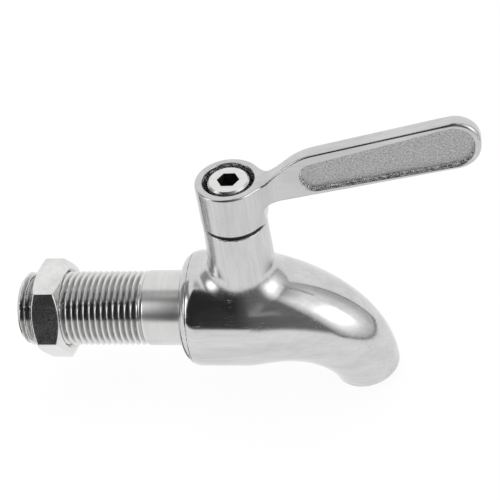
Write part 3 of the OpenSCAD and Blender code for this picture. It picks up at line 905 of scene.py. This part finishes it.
@dataclass
class Casting:
    """The barrel, the curved spout and the neck, cast in one."""

    seam_x: float = 2.0
    barrel_r: float = 12.83
    edge_length: float = 3.8
    edge_drop: float = 3.1
    bend_lead: float = -0.9
    spout_length: float = 33.76
    spout_turn: float = 79.6
    bend_delay: float = 1.33
    outlet_r: float = 7.5
    taper_power: float = 0.4
    taper_soft: float = 0.2
    outlet_bore_r: float = 6.0
    outlet_bore_length: float = 4.0
    rim_r: float = 0.5
    port_r: float = 5.0
    neck_r: float = 6.65
    neck_flare: float = 0.45
    neck_fillet: float = 3.0
    neck_edge: float = 0.15
    boss_r: float = 9.05
    chamber_r: float = 8.45
    seat_back: float = 8.7
    stem_bore_r: float = 4.03
    seat_lap: float = 0.5
    bore_step: float = 0.15
    seam_edge: float = 0.12
    hollow_edge: float = 0.15
    stations: int = 90
    voxel: float = 0.3

    def __post_init__(self) -> None:
        """Works out the places that follow from the frame."""
        self.tower_x = tower_axis()
        self.neck_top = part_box("handle_washer")[0].z / MM
        pin_low, pin_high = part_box("stop_pin")
        self.pin_x = (pin_low.x + pin_high.x) / 2 / MM
        self.pin_y = (pin_low.y + pin_high.y) / 2 / MM
        self.pin_r = (pin_high.x - pin_low.x) / 2 / MM
        self.pin_foot = pin_low.z / MM
        ring_low, ring_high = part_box("retaining_ring")
        self.groove_r = (ring_high.y - ring_low.y) / 2 / MM
        self.groove_low, self.groove_high = ring_low.z / MM, ring_high.z / MM
        self.outer = self.outer_sweep()
        self.mouth = (self.outer.x[-1], self.outer.z[-1], self.outer.angle[-1])
        self.inner = self.inner_sweep()

    def edge_radius(self, x: np.ndarray) -> np.ndarray:
        """Radius of the rounded rear edge at each place along the shank."""
        share = np.clip((self.edge_length - x) / self.edge_length, 0, 1)
        return self.barrel_r - self.edge_drop * (1 - np.sqrt(1 - share ** 2))

    def outer_sweep(self) -> Sweep:
        """Outer skin of the barrel and the spout.

        Returns:
            The sweep from the seam to the mouth.
        """
        rear = np.concatenate([np.linspace(0.0, self.edge_length, 16),
                               np.linspace(self.edge_length, self.tower_x + self.bend_lead, 5)[1:-1]])
        share = np.linspace(0, 1, self.stations)
        angle = np.radians(self.spout_turn) * share ** self.bend_delay
        soft = (share ** 2 + self.taper_soft ** 2) ** (self.taper_power / 2)
        taper = (soft - soft[0]) / (soft[-1] - soft[0])
        radius = self.barrel_r - (self.barrel_r - self.outlet_r) * taper
        step = self.spout_length / (self.stations - 1)
        run = np.concatenate([[0], np.cumsum((np.cos(angle[1:]) + np.cos(angle[:-1])) / 2 * step)])
        fall = np.concatenate([[0], np.cumsum((np.sin(angle[1:]) + np.sin(angle[:-1])) / 2 * step)])
        return Sweep(
            np.concatenate([rear, self.tower_x + self.bend_lead + run]),
            np.concatenate([np.zeros(len(rear)), -fall]),
            np.concatenate([np.zeros(len(rear)), angle]),
            np.concatenate([self.edge_radius(rear), radius]))

    def inner_sweep(self) -> Sweep:
        """Passage from the outlet seat to the mouth.

        Returns:
            The sweep of the passage.
        """
        mouth_x, mouth_z, turn = self.mouth
        way = np.array([math.cos(turn), -math.sin(turn)])
        start = np.array([self.tower_x + self.seat_back - self.seat_lap, 0.0])
        goal = np.array([mouth_x, mouth_z]) - way * self.outlet_bore_length / 2
        pull = float(np.linalg.norm(goal - start)) / 3
        first = start + np.array([pull, 0.0])
        second = goal - pull * way
        u = np.linspace(0, 1, 40)[:, None]
        v = 1 - u
        line = v ** 3 * start + 3 * u * v ** 2 * first + 3 * u * u * v * second + u ** 3 * goal
        heading = v ** 2 * (first - start) + 2 * u * v * (second - first) + u * u * (goal - second)
        radius = self.port_r + (self.outlet_bore_r - self.bore_step - self.port_r) * u[:, 0]
        return Sweep(line[:, 0], line[:, 1], np.arctan2(-heading[:, 1], heading[:, 0]), radius)

    def along_mouth(self, points: Points) -> tuple[np.ndarray, np.ndarray]:
        """Place along the mouth's axis and distance from it.

        Args:
            points: Rows of x, y and z.

        Returns:
            The place and the distance of each point.
        """
        mouth_x, mouth_z, turn = self.mouth
        x, y, z = points.T
        away_x, away_z = x - mouth_x, z - mouth_z
        along = away_x * math.cos(turn) - away_z * math.sin(turn)
        across = away_x * math.sin(turn) + away_z * math.cos(turn)
        return along, np.hypot(across, y)

    def distance(self, points: Points) -> Distances:
        """Distance to the casting's surface, negative in the metal.

        Args:
            points: Rows of x, y and z in millimetres.

        Returns:
            The distance of each point.
        """
        x, y, z = points.T
        from_tower = np.hypot(x - self.tower_x, y)
        from_shank = np.hypot(y, z)
        slope = self.neck_flare / (self.neck_top - self.barrel_r)
        neck = from_tower - (self.neck_r + slope * (self.neck_top - z))
        neck = np.maximum(neck, -z)
        form = round_join(self.outer.distance(points), neck, self.neck_fillet)
        form = round_meet(form, z - self.neck_top, self.neck_edge)
        form = round_meet(form, self.seam_x - x, self.seam_edge)
        along, off_axis = self.along_mouth(points)
        form = round_meet(form, along - self.rim_r, self.rim_r)
        mouth = np.maximum(off_axis - self.outlet_bore_r, -along - self.outlet_bore_length)
        passage = np.maximum(self.inner.distance(points), self.tower_x + self.seat_back - self.seat_lap - x)
        passage = np.maximum(passage, along)
        form = round_meet(form, -np.minimum(mouth, passage), self.hollow_edge)
        boss = np.maximum(from_shank - self.boss_r, x - (self.tower_x - self.seat_back))
        chamber = np.maximum(from_shank - self.chamber_r, x - (self.tower_x + self.seat_back))
        stem = np.maximum(from_tower - self.stem_bore_r, -z)
        groove = np.maximum(self.groove_low - z, z - self.groove_high)
        groove = np.maximum(from_tower - self.groove_r, groove)
        pin_hole = np.maximum(np.hypot(x - self.pin_x, y - self.pin_y) - self.pin_r, self.pin_foot - z)
        hollow = np.minimum.reduce([boss, chamber, stem, groove, pin_hole])
        return np.maximum(form, -hollow)

    def build(self, finishes: Finishes) -> None:
        """Builds and dresses the casting.

        Args:
            finishes: The spigot's materials.
        """
        piece = skin_piece("spigot_casting", "body", self.distance, self.voxel)
        dress(piece, finishes.cast)
        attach(piece, "valve_body")
        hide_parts("body")
        LOG.info("spigot_casting has %d faces", len(piece.data.polygons))


@dataclass
class Shank:
    """The flanged end piece with its pipe thread."""

    smooth_r: float = 8.33
    crest_r: float = 8.28
    thread_depth: float = 0.82
    pitch: float = 1.337
    smooth_length: float = 8.3
    runout: float = 1.0
    end_chamfer: float = 0.9
    bore_r: float = 5.25
    bore_chamfer: float = 0.4
    boss_bore_chamfer: float = 0.2
    flange_length: float = 2.0
    corner: float = 0.12
    thread_step: float = 0.08
    rim_steps: tuple[tuple[float, float], ...] = ((0.03, 0.06), (0.0, 0.14))
    boss_play: float = 0.05
    boss_chamfer: float = 0.1
    crest_shape: float = 0.94
    mouth_width: float = 1.5
    flange_lip: float = 0.2
    crease_angle: float = 35.0
    sides: int = 128
    pitch_samples: int = 14

    def __post_init__(self) -> None:
        """Reads the ends from the solid's box."""
        low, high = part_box("threaded_shank")
        self.end_x = low.x / MM
        self.boss_end = high.x / MM
        self.casting = Casting()

    def flange_r(self, x: float) -> float:
        """Radius of the flange, which carries on the casting's rounded edge."""
        return float(self.casting.edge_radius(np.array([x]))[0])

    def thread_radius(self, x: float, turn: np.ndarray) -> np.ndarray:
        """Outer radius of the thread.

        Args:
            x: Place along the shank.
            turn: Angles round it, in turns.

        Returns:
            The radius at each angle.
        """
        phase = 2 * math.pi * (x / self.pitch + turn)
        wave = np.arcsin(self.crest_shape * np.sin(phase)) / math.asin(self.crest_shape)
        fade = np.clip((-self.smooth_length - x) / self.runout, 0, 1)
        depth = self.thread_depth * fade
        return self.crest_r - depth * (1 - wave) / 2

    def outer_profile(self) -> list[tuple[float, Optional[float]]]:
        """Places and radii of the outer rings, from the free end to the boss.

        Returns:
            Rows of place and radius, with no radius where the thread gives it.
        """
        rows: list[tuple[float, Optional[float]]] = []
        length = -self.smooth_length - self.end_x
        count = int(length / self.pitch * self.pitch_samples)
        rows += [(self.end_x + length * i / count, None) for i in range(count + 1)]
        rows += [(-self.smooth_length + self.thread_step, self.smooth_r), (-self.corner, self.smooth_r),
                 (0.0, self.smooth_r + self.corner)]
        rows += [(0.0, self.flange_r(0.0) - self.boss_play), (0.0, self.flange_r(0.0))]
        end = self.flange_length
        rows += [(float(x), self.flange_r(x)) for x in np.linspace(0.08, end - self.corner, 14)]
        rows += [(end - back, self.flange_r(end) - drop) for back, drop in self.rim_steps]
        boss = self.casting.boss_r - self.boss_play
        rows += [(end, boss + self.boss_play), (end + self.boss_play, boss),
                 (self.boss_end - self.boss_chamfer, boss), (self.boss_end, boss - self.boss_chamfer)]
        return rows

    def build(self, finishes: Finishes) -> None:
        """Builds and dresses the shank.

        Args:
            finishes: The spigot's materials.
        """
        turn = np.arange(self.sides) / self.sides
        cosine, sine = np.cos(2 * math.pi * turn), np.sin(2 * math.pi * turn)

        def ring(x: float, radius: object) -> np.ndarray:
            """A ring round the shank's axis."""
            return np.stack([np.full(self.sides, x), radius * cosine, radius * sine], axis=1)

        rings = [ring(self.end_x, self.bore_r + self.bore_chamfer)]
        for x, radius in self.outer_profile():
            if radius is None:
                limit = self.crest_r - self.end_chamfer + (x - self.end_x)
                radius = np.minimum(self.thread_radius(x, turn), limit)
            rings.append(ring(x, radius))
        rings.append(ring(self.boss_end, self.bore_r + self.boss_bore_chamfer))
        rings.append(ring(self.boss_end - self.boss_bore_chamfer, self.bore_r))
        rings.append(ring(self.end_x + self.bore_chamfer, self.bore_r))
        piece = closed_lathe("shank_with_thread", [r[::-1] for r in rings])
        dress(piece, finishes.turned, finishes.thread, finishes.cast)
        x, y, z = face_centres(piece).T
        radius = np.hypot(y, z)
        turned_slot, thread_slot, cast_slot = range(3)
        threaded = (x < -self.smooth_length) | (radius < self.bore_r + self.mouth_width)
        slots = np.where(threaded, thread_slot, turned_slot)
        slots[(x > 0.0) & (radius > self.smooth_r + self.flange_lip)] = cast_slot
        piece.data.polygons.foreach_set("material_index", slots.astype(np.int32))
        crease(piece, self.crease_angle)
        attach(piece, "valve_body")
        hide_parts("threaded_shank")
        LOG.info("shank_with_thread has %d faces", len(piece.data.polygons))


def crease(piece: bpy.types.Object, angle: float) -> None:
    """Marks the edges that are sharper than an angle, so that they shade crisply.

    Args:
        piece: The piece.
        angle: The angle in degrees.
    """
    work = bmesh.new()
    work.from_mesh(piece.data)
    limit = math.radians(angle)
    for edge in work.edges:
        if len(edge.link_faces) == 2:
            edge.smooth = edge.calc_face_angle(0.0) < limit
    work.to_mesh(piece.data)
    work.free()


@dataclass
class Lever:
    """The hub with its curved blade and sunken field."""

    hub_r: float = 6.82
    hub_height: float = 9.75
    blade_t: float = 3.2
    root_fillet: float = 7.0
    reach: float = 49.0
    top_slope: float = 13.4
    low_slope: float = 11.5
    rise_slope: float = 39.3
    rise_lead: float = 0.56
    crest_x: float = 14.5
    crest_r: float = 13.0
    foot_r: float = 2.5
    under_z: float = 4.35
    under_r: float = 2.0
    tip_top_r: float = 4.8
    tip_low_r: float = 5.0
    edge_r: float = 0.5
    tip_edge_r: float = 0.95
    tip_edge_start: float = 41.0
    field_depth: float = 0.9
    field_start: float = 14.45
    field_tip_rim: float = 1.2
    rim_top_near: float = 2.3
    rim_top_far: float = 0.8
    rim_low_near: float = 1.1
    rim_low_far: float = 0.7
    field_near_r: float = 3.0
    field_tip_r: float = 4.0
    field_foot_r: float = 0.25
    field_rim_r: float = 0.2
    field_lip: float = 0.15
    wall_width: float = 0.3
    recess_r: float = 5.25
    recess_rim_r: float = 0.25
    stem_hole_lap: float = 0.5
    stem_hole_r: float = 3.55
    stem_flat: float = 3.15
    pin_reach: float = 5.25
    pin_slot: float = 0.8
    pin_slot_height: float = 1.5
    pin_angle: float = 135.0
    turn: float = 90.0
    voxel: float = 0.2

    def __post_init__(self) -> None:
        """Works out the places that follow from the frame."""
        self.tower_x = tower_axis()
        self.hub_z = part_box("lever")[0].z / MM
        self.hub_top = self.hub_z + self.hub_height
        self.floor_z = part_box("spring_washer")[0].z / MM
        self.side = self.side_outline()
        self.plan = self.plan_outline()
        self.field = self.field_outline()

    def top_z(self, x: float) -> float:
        """Height of the blade's upper edge at a distance from the tower's axis."""
        rise_x = self.hub_r + self.rise_lead
        crest_z = self.hub_top + (self.crest_x - rise_x) * math.tan(math.radians(self.rise_slope))
        return crest_z + (x - self.crest_x) * math.tan(math.radians(self.top_slope))

    def low_z(self, x: float) -> float:
        """Height of the blade's lower edge at a distance from the tower's axis."""
        return self.hub_z + self.under_z + (x - self.hub_r) * math.tan(math.radians(self.low_slope))

    def side_outline(self) -> np.ndarray:
        """Outline of the hub and the blade seen from the side."""
        far = 2 * self.hub_r
        return rounded_outline([
            (-far, self.hub_z, 0),
            (self.hub_r, self.hub_z, 0),
            (self.hub_r, self.low_z(self.hub_r), self.under_r),
            (self.reach, self.low_z(self.reach), self.tip_low_r),
            (self.reach, self.top_z(self.reach), self.tip_top_r),
            (self.crest_x, self.top_z(self.crest_x), self.crest_r),
            (self.hub_r + self.rise_lead, self.hub_top, self.foot_r),
            (-far, self.hub_top, 0)])

    def plan_outline(self) -> np.ndarray:
        """Outline of the hub and the blade seen from above."""
        half = self.blade_t / 2
        centre_y = half + self.root_fillet
        centre_x = math.sqrt((self.hub_r + self.root_fillet) ** 2 - centre_y ** 2)
        meet = math.atan2(centre_y, centre_x)
        upper = [(self.reach + 1, half)]
        for k in range(25):
            angle = -math.pi / 2 - (math.pi / 2 - meet) * k / 24
            upper.append((centre_x + self.root_fillet * math.cos(angle),
                          centre_y + self.root_fillet * math.sin(angle)))
        for k in range(1, 61):
            angle = meet + (math.pi - meet) * k / 60
            upper.append((self.hub_r * math.cos(angle), self.hub_r * math.sin(angle)))
        lower = [(x, -y) for x, y in reversed(upper[:-1])]
        return np.array(upper + lower)

    def field_outline(self) -> np.ndarray:
        """Outline of the sunken field."""
        near, far = self.field_start, self.reach - self.field_tip_rim
        return rounded_outline([
            (near, self.low_z(near) + self.rim_low_near, self.field_near_r),
            (far, self.low_z(far) + self.rim_low_far, self.field_tip_r),
            (far, self.top_z(far) - self.rim_top_far, self.field_tip_r),
            (near, self.top_z(near) - self.rim_top_near, self.field_near_r)])

    def field_distance(self, points: Points) -> Distances:
        """Distance to the sunken field's hollow."""
        x, y, z = points.T
        flat = outline_distance(x - self.tower_x, z, self.field)
        return round_meet(flat, y + self.blade_t / 2 - self.field_depth, self.field_foot_r)

    def distance(self, points: Points) -> Distances:
        """Distance to the lever's surface, negative in the metal.

        Args:
            points: Rows of x, y and z in millimetres.

        Returns:
            The distance of each point.
        """
        x, y, z = points.T
        out = x - self.tower_x
        from_tower = np.hypot(out, y)
        towards_tip = np.clip((out - self.tip_edge_start) / (self.reach - self.tip_edge_start), 0, 1)
        high = np.clip(z - (self.low_z(self.reach) + self.top_z(self.reach)) / 2, 0, 1)
        edge = self.edge_r + (self.tip_edge_r - self.edge_r) * towards_tip * high
        form = round_meet(outline_distance(out, y, self.plan), outline_distance(out, z, self.side), edge)
        form = round_meet(form, -self.field_distance(points), self.field_rim_r)
        recess = np.maximum(from_tower - self.recess_r, self.floor_z - z)
        form = round_meet(form, -recess, self.recess_rim_r)
        hole = np.maximum(from_tower - self.stem_hole_r, np.abs(y) - self.stem_flat)
        hole = np.maximum(hole, z - self.floor_z - self.stem_hole_lap)
        start = math.radians(self.pin_angle)
        angle = np.clip(np.mod(np.arctan2(y, out), 2 * math.pi), start, start + math.radians(self.turn))
        slot = np.hypot(out - self.pin_reach * np.cos(angle), y - self.pin_reach * np.sin(angle))
        slot = np.maximum(slot - self.pin_slot, z - self.hub_z - self.pin_slot_height)
        return np.maximum(form, -np.minimum(hole, slot))

    def build(self, finishes: Finishes) -> None:
        """Builds and dresses the lever.

        Args:
            finishes: The spigot's materials.
        """
        piece = skin_piece("cast_lever", "lever", self.distance, self.voxel)
        dress(piece, finishes.lever, finishes.blasted, finishes.wall)
        x, y, z = face_centres(piece).T
        inset = outline_distance(x - self.tower_x, z, self.field)
        front = -self.blade_t / 2
        sunk = (y < front + self.field_depth + 0.1) & (y > front + self.field_lip) & (inset < 0.05)
        from_tower = np.hypot(x - self.tower_x, y)
        recess = (from_tower < self.recess_r + 0.05) & (z > self.floor_z - 0.1) & (z < self.hub_top - 0.3)
        steep = recess | (sunk & (inset > -self.wall_width))
        plain_slot, field_slot, wall_slot = range(3)
        slots = np.where(steep, wall_slot, np.where(sunk, field_slot, plain_slot))
        piece.data.polygons.foreach_set("material_index", slots.astype(np.int32))
        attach(piece, "handle")
        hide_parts("lever")
        LOG.info("cast_lever has %d faces", len(piece.data.polygons))


@dataclass
class Nut:
    """The hexagon nut on the thread."""

    half_flats: float = 10.0
    face_r: float = 9.7
    sink_r: float = 9.1
    bore_r: float = 8.33
    edge_r: float = 0.18
    sink_edge_r: float = 0.1
    lean: float = 30.0
    voxel: float = 0.2

    def __post_init__(self) -> None:
        """Reads the nut's ends from its solid."""
        low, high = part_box("lock_nut")
        self.near_x, self.far_x = low.x / MM, high.x / MM

    def distance(self, points: Points) -> Distances:
        """Distance to the nut's surface, negative in the metal.

        Args:
            points: Rows of x, y and z in millimetres.

        Returns:
            The distance of each point.
        """
        x, y, z = points.T
        radial = np.hypot(y, z)
        form = np.abs(z) - self.half_flats
        for side in (-1, 1):
            slab = np.abs(0.5 * z + side * math.sqrt(0.75) * y) - self.half_flats
            form = round_meet(form, slab, self.edge_r)
        across, along = math.sin(math.radians(self.lean)), math.cos(math.radians(self.lean))
        for depth in (x - self.near_x, self.far_x - x):
            form = round_meet(form, (radial - self.face_r) * across - depth * along, self.edge_r)
            form = round_meet(form, -depth, self.edge_r)
            sink = (radial - self.sink_r + depth) * math.sqrt(0.5)
            form = round_meet(form, -sink, self.sink_edge_r)
        return np.maximum(form, self.bore_r - radial)

    def build(self, finishes: Finishes) -> None:
        """Builds and dresses the nut.

        Args:
            finishes: The spigot's materials.
        """
        piece = skin_piece("hexagon_nut", "lock_nut", self.distance, self.voxel)
        dress(piece, finishes.nut)
        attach(piece, "nut")
        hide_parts("lock_nut")
        LOG.info("hexagon_nut has %d faces", len(piece.data.polygons))


@dataclass
class Fittings:
    """The pieces whose solids already have their true form."""

    turned: tuple[str, ...] = ("ball", "stem", "stop_pin")
    screws: tuple[str, ...] = ("handle_screw",)
    springs: tuple[str, ...] = ("retaining_ring", "spring_washer")
    rubbers: tuple[str, ...] = ("shank_seal", "stem_oring_lower", "stem_oring_upper")
    rings: tuple[str, ...] = ("handle_washer",)
    seats: tuple[str, ...] = ("inlet_seat", "outlet_seat")

    def build(self, finishes: Finishes) -> None:
        """Dresses the solids.

        Args:
            finishes: The spigot's materials.
        """
        groups = ((self.turned, finishes.turned), (self.screws, finishes.screw),
                  (self.springs, finishes.spring), (self.rubbers, finishes.rubber),
                  (self.rings, finishes.gap_ring), (self.seats, finishes.seat))
        for names, material in groups:
            for name in names:
                dress(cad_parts[name], material)
                LOG.info("%s has %s", name, material.name)


@dataclass(frozen=True)
class Panel:
    """A soft-edged patch of the studio's wall."""

    azimuths: tuple[float, float]
    heights: tuple[float, float]
    near_light: float
    far_light: float
    soft: float = 4.0

    def share(self, azimuth: np.ndarray, height: np.ndarray) -> np.ndarray:
        """How far the panel covers the wall in each direction.

        Args:
            azimuth: Angles round the object in degrees.
            height: Angles above the shank's axis in degrees.

        Returns:
            A share between 0 and 1 for each direction.
        """
        cover = np.ones_like(azimuth)
        for value, (low, high) in ((azimuth, self.azimuths), (height, self.heights)):
            for depth in (value - low, high - value):
                step = np.clip(depth / self.soft + 0.5, 0, 1)
                cover = cover * step * step * (3 - 2 * step)
        return cover

    def light(self, azimuth: np.ndarray) -> np.ndarray:
        """The panel's light, which fades from its first azimuth to its last."""
        low, high = self.azimuths
        way = np.clip((azimuth - low) / (high - low), 0, 1)
        return self.near_light + (self.far_light - self.near_light) * way


@dataclass
class Studio:
    """White room with a dark side behind the camera, and the photograph's camera."""

    camera_place: tuple[float, float, float] = (54.22, -168.926, 170.482)
    camera_turn: tuple[float, float, float] = (48.068, 6.934, 6.558)
    lens: float = 79.74
    sensor: float = 36.0
    room_light: float = 0.75
    floor_size: float = 3.0
    floor_drop: float = 0.4
    floor_colour: Colour = (0.93, 0.93, 0.93)
    floor_rough: float = 0.9
    floor_shine: float = 0.1
    floor_glow: float = 1.03
    floor_glow_share: float = 0.9
    lamp_place: tuple[float, float, float] = (-0.1, 0.2, 0.7)
    lamp_power: float = 1.0
    lamp_size: float = 0.6
    room_r: float = 900.0
    panels: tuple[Panel, ...] = (
        Panel((-52, 44), (2, 80), 0.03, 0.03),
        Panel((-12, 10), (2, 80), 0.05, 0.12, 6.0),
        Panel((6, 44), (-3, 80), 0.14, 0.2, 10.0),
        Panel((6, 30), (26, 34), 0.35, 0.3, 5.0),
        Panel((-200, 200), (78, 110), 0.06, 0.06, 4.0),
        Panel((42, 124), (-7, 64), 0.06, 0.06, 2.0),
        Panel((44, 122), (-4.5, 61.5), 0.35, 0.6, 3.0),
        Panel((50, 108), (0, 54), 1.4, 0.9, 20.0),
        Panel((58, 84), (13, 34), 2.6, 2.6, 14.0),
        Panel((-110, -52), (2, 56), 0.3, 0.3, 6.0),
        Panel((-74, -54), (8, 44), 1.6, 1.6, 8.0),
        Panel((-76, -58), (13, 34), 2.6, 2.6, 10.0),
        Panel((-120, -100), (-60, -26), 0.04, 0.04, 4.0))

    def build(self) -> None:
        """Builds the camera, the floor, the wall and the lamps."""
        self.make_camera()
        self.make_world()
        self.make_floor()
        self.make_wall()
        self.make_lamps()

    def make_camera(self) -> None:
        """Places the camera where the photograph was taken."""
        data = bpy.data.cameras.new("camera")
        data.lens = self.lens
        data.sensor_width = self.sensor
        camera = bpy.data.objects.new("camera", data)
        camera.location = Vector(self.camera_place) * MM
        camera.rotation_euler = Euler([math.radians(a) for a in self.camera_turn], "XYZ")
        bpy.context.scene.collection.objects.link(camera)
        bpy.context.scene.camera = camera

    def make_world(self) -> None:
        """Makes the white surroundings."""
        world = bpy.data.worlds.new("white_room")
        bpy.context.scene.world = world
        world.use_nodes = True
        world.node_tree.nodes.clear()
        sheet = NodeSheet(world.node_tree)
        seen, lit = (sheet.add("ShaderNodeBackground") for _ in range(2))
        for light, strength in ((seen, 1.0), (lit, self.room_light)):
            light.inputs["Color"].default_value = WHITE
            light.inputs["Strength"].default_value = strength
        blend = sheet.blend_shaders(sheet.seen_directly(), lit, seen)
        out = sheet.add("ShaderNodeOutputWorld")
        sheet.link(blend, out.inputs["Surface"])

    def make_floor(self) -> None:
        """Makes the pale floor just under the spout."""
        low = cad_box[0].z - self.floor_drop * MM
        bpy.ops.mesh.primitive_plane_add(size=self.floor_size, location=(0, 0, low))
        floor = bpy.context.object
        floor.name = "pale_floor"
        material, sheet, shader = new_material("pale_floor")
        shader.inputs["Base Color"].default_value = (*self.floor_colour, 1.0)
        shader.inputs["Roughness"].default_value = self.floor_rough
        shader.inputs["Specular IOR Level"].default_value = self.floor_shine
        glow = sheet.add("ShaderNodeEmission")
        glow.inputs["Strength"].default_value = self.floor_glow
        share = sheet.math("MULTIPLY", sheet.seen_directly(), self.floor_glow_share)
        out = material.node_tree.nodes["Material Output"]
        sheet.link(sheet.blend_shaders(share, shader, glow), out.inputs["Surface"])
        floor.data.materials.append(material)
        floor.visible_glossy = False

    def wall_glow(self, azimuth: np.ndarray, height: np.ndarray) -> np.ndarray:
        """Light of the studio's wall in each direction from the object.

        Args:
            azimuth: Angles round the object, 0 to the front, in degrees.
            height: Angles above the shank's axis, in degrees.

        Returns:
            The light in each direction, where 1 is white.
        """
        glow = np.ones_like(azimuth)
        for panel in self.panels:
            share = panel.share(azimuth, height)
            glow = glow * (1 - share) + panel.light(azimuth) * share
        return glow

    def make_wall(self) -> None:
        """Makes the round wall with its panels, which only reflections show."""
        rows, columns = 120, 240
        heights = np.linspace(-90, 90, rows + 1)
        azimuths = np.linspace(-180, 180, columns + 1)
        height, azimuth = (grid.ravel() for grid in np.meshgrid(heights, azimuths, indexing="ij"))
        up, way = np.radians(height), np.radians(azimuth)
        points = np.stack([np.cos(up) * np.sin(way), -np.cos(up) * np.cos(way), np.sin(up)], axis=1)
        width = columns + 1
        faces = [(j * width + k, j * width + k + 1, (j + 1) * width + k + 1, (j + 1) * width + k)
                 for j in range(rows) for k in range(columns)]
        mesh = bpy.data.meshes.new("studio_wall")
        mesh.from_pydata((points * self.room_r * MM).tolist(), [], faces)
        glow = self.wall_glow(azimuth, height)
        layer = mesh.color_attributes.new("glow", "FLOAT_COLOR", "POINT")
        layer.data.foreach_set("color", np.stack([glow, glow, glow, np.ones_like(glow)], axis=1).ravel())
        wall = bpy.data.objects.new("studio_wall", mesh)
        bpy.context.scene.collection.objects.link(wall)
        material = bpy.data.materials.new("studio_wall")
        material.use_nodes = True
        material.node_tree.nodes.clear()
        sheet = NodeSheet(material.node_tree)
        painted = sheet.add("ShaderNodeVertexColor", layer_name="glow")
        light = sheet.add("ShaderNodeEmission")
        sheet.link(painted.outputs["Color"], light.inputs["Color"])
        out = sheet.add("ShaderNodeOutputMaterial")
        sheet.link(light.outputs[0], out.inputs["Surface"])
        mesh.materials.append(material)
        wall.visible_camera = False
        wall.visible_diffuse = False
        wall.visible_shadow = False

    def make_lamps(self) -> None:
        """Hangs one soft lamp over the object."""
        data = bpy.data.lights.new("soft_lamp", "AREA")
        data.energy = self.lamp_power
        data.size = self.lamp_size
        lamp = bpy.data.objects.new("soft_lamp", data)
        lamp.location = self.lamp_place
        lamp.rotation_euler = (-Vector(self.lamp_place)).to_track_quat("-Z", "Y").to_euler()
        lamp.visible_glossy = False
        bpy.context.scene.collection.objects.link(lamp)


def main() -> None:
    """Builds the studio and the spigot in order."""
    logging.basicConfig(level=logging.INFO, format="%(name)s: %(message)s")
    bpy.context.scene.view_settings.view_transform = "Standard"
    Studio().build()
    finishes = Finishes()
    Casting().build(finishes)
    Shank().build(finishes)
    Nut().build(finishes)
    Lever().build(finishes)
    Fittings().build(finishes)


if __name__ == "__main__":
    main()
